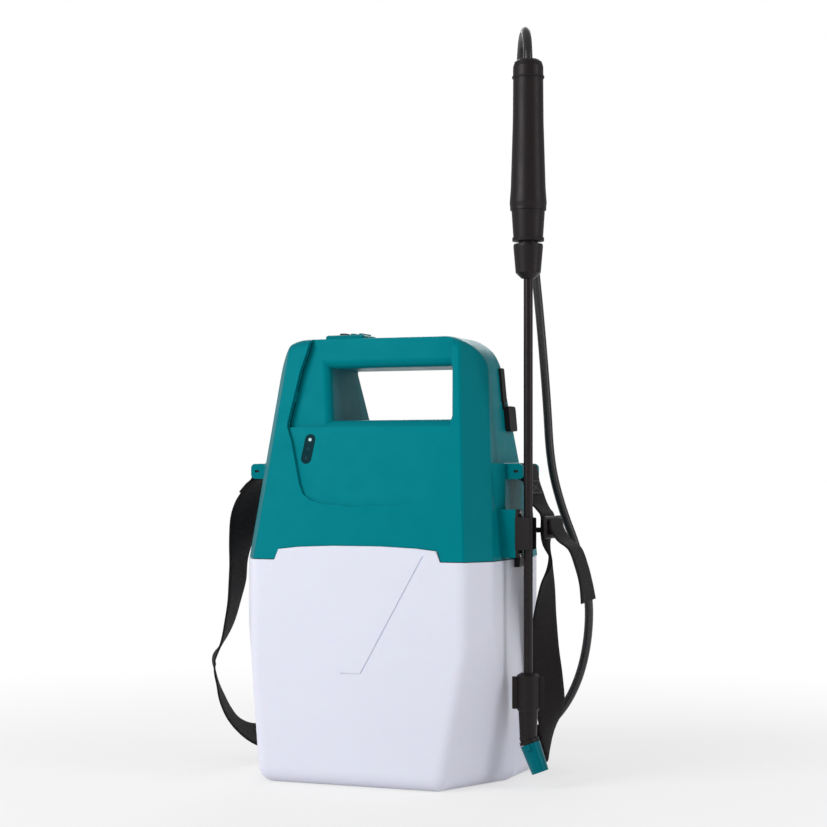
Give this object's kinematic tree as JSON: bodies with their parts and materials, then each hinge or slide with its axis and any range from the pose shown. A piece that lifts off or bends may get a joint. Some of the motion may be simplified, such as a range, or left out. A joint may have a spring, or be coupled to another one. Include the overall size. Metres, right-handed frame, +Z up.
{
  "type": "battery backpack sprayer",
  "caption": "Battery sprayer with a faceted tank, a teal pump head with a carry handle, a shoulder strap, a filler cap and a clipped trigger lance on a hose.",
  "frame": {"origin": "centre of the tank's flat foot, on the ground", "axes": "+Z up; -Y is the front of the tank, +Y the filler cap's side; +X is the side with the lance and its clip"},
  "size_m": [0.3775, 0.2162, 0.6746],
  "materials": {
    "tank_plastic": "frosted blow-moulded polyethylene",
    "teal_plastic": "fine moulded texture",
    "black_plastic": "fine moulded texture",
    "grey_plastic": "moulded",
    "teal_tip": "gloss",
    "dark_window": "gloss",
    "pale_lens": "gloss",
    "black_rubber": "matt",
    "hose_black": "semi-matt PVC",
    "webbing": "woven webbing",
    "steel": "bright",
    "tube_fibre": "glass-filled tube, satin",
    "cell_wrap": "shrink wrap",
    "board_green": "solder mask",
    "clear_hose": "translucent",
    "strainer_white": "moulded"
  },
  "bodies": {
    "sprayer": {"tank": "tank_plastic", "head_front_shell": "teal_plastic", "head_rear_shell": "teal_plastic", "head_screws": "steel", "anchor_pins": "black_plastic", "switch_bezel": "teal_plastic", "switch_body": "grey_plastic", "gauge_window": "dark_window", "gauge_lights": "pale_lens", "gauge_board": "board_green", "charge_cover_strap": "black_rubber", "charging_jack": "black_plastic", "lance_clip": "black_plastic", "clip_screws": "steel", "head_latch": "black_plastic", "hose_hook": "black_plastic", "outlet_fitting": "black_plastic", "outlet_nut": "black_plastic", "pump_deck": "grey_plastic", "deck_seal": "black_rubber", "deck_screws": "steel", "suction_tube": "clear_hose", "suction_filter": "grey_plastic", "pump_head": "black_plastic", "pump_motor": "steel", "motor_bracket": "grey_plastic", "pressure_switch": "black_plastic", "control_board": "board_green", "battery_cells": "cell_wrap", "battery_holder": "black_plastic", "delivery_tube": "clear_hose", "filler_strainer": "strainer_white", "hose": "hose_black", "strap_right_fall": "webbing", "strap_left_fall": "webbing", "strap_low_run": "webbing", "strap_tail": "webbing", "strap_adjuster": "black_plastic"},
    "filler_cap": {"filler_cap": "black_plastic", "cap_vent": "grey_plastic"},
    "cap_gasket": {"cap_gasket": "black_rubber"},
    "charge_flap": {"charge_flap": "black_rubber"},
    "switch_button": {"switch_button": "black_plastic"},
    "lance": {"lance_tube": "tube_fibre", "lance_nut": "black_plastic", "tube_ring": "black_rubber", "collar_ring": "black_rubber", "valve_body": "black_plastic", "trigger_pin": "steel", "valve_spring": "steel", "lance_grip": "black_plastic", "grip_ring": "black_rubber", "grip_cap": "black_plastic", "grip_pipe": "grey_plastic", "nozzle_body": "black_plastic", "nozzle_elbow": "black_plastic", "nozzle_ring": "black_rubber"},
    "trigger": {"trigger": "black_plastic"},
    "valve_stem": {"valve_stem": "steel"},
    "nozzle_cap": {"nozzle_cap": "teal_tip"}
  },
  "joints": [
    {"name": "cap_lift", "type": "slide", "parent": "sprayer", "child": "cap_gasket", "axis": [0, 0.7071, 0.7071], "range_m": [0, 0.006]},
    {"name": "cap_turn", "type": "hinge", "parent": "cap_gasket", "child": "filler_cap", "pos_m": [0.038, 0.024, 0.199], "axis": [0, 0.7071, 0.7071], "range_deg": [0, 540]},
    {"name": "charge_flap_hinge", "type": "hinge", "parent": "sprayer", "child": "charge_flap", "pos_m": [0.1063, 0.013, 0.3388], "axis": [0, -1, 0], "range_deg": [0, 90], "stiffness_Nm_per_rad": 0.01},
    {"name": "power_switch", "type": "slide", "parent": "sprayer", "child": "switch_button", "axis": [1, 0, 0], "range_m": [0, 0.006]},
    {"name": "lance_unclip", "type": "slide", "parent": "sprayer", "child": "lance", "axis": [1, 0, 0], "range_m": [0, 0.03], "deforming": ["hose"]},
    {"name": "trigger_pull", "type": "hinge", "parent": "lance", "child": "trigger", "pos_m": [0.13247, -0.00685, 0.495], "axis": [0.9272, 0.3746, 0], "range_deg": [0, 7], "stiffness_Nm_per_rad": 2, "springref_deg": -2.86},
    {"name": "valve_push", "type": "slide", "parent": "lance", "child": "valve_stem", "axis": [0, 0, -1], "range_m": [0, 0.0016], "deforming": ["valve_spring"]},
    {"name": "nozzle_turn", "type": "hinge", "parent": "lance", "child": "nozzle_cap", "pos_m": [0.1394, -0.024, 0.044], "axis": [0.3584, 0, -0.9336], "continuous": true}
  ],
  "couplings": [
    {"joint": "cap_lift", "follows": "cap_turn", "m_per_rad": 0.0006366},
    {"joint": "valve_push", "follows": "trigger_pull", "m_per_rad": 0.013}
  ]
}
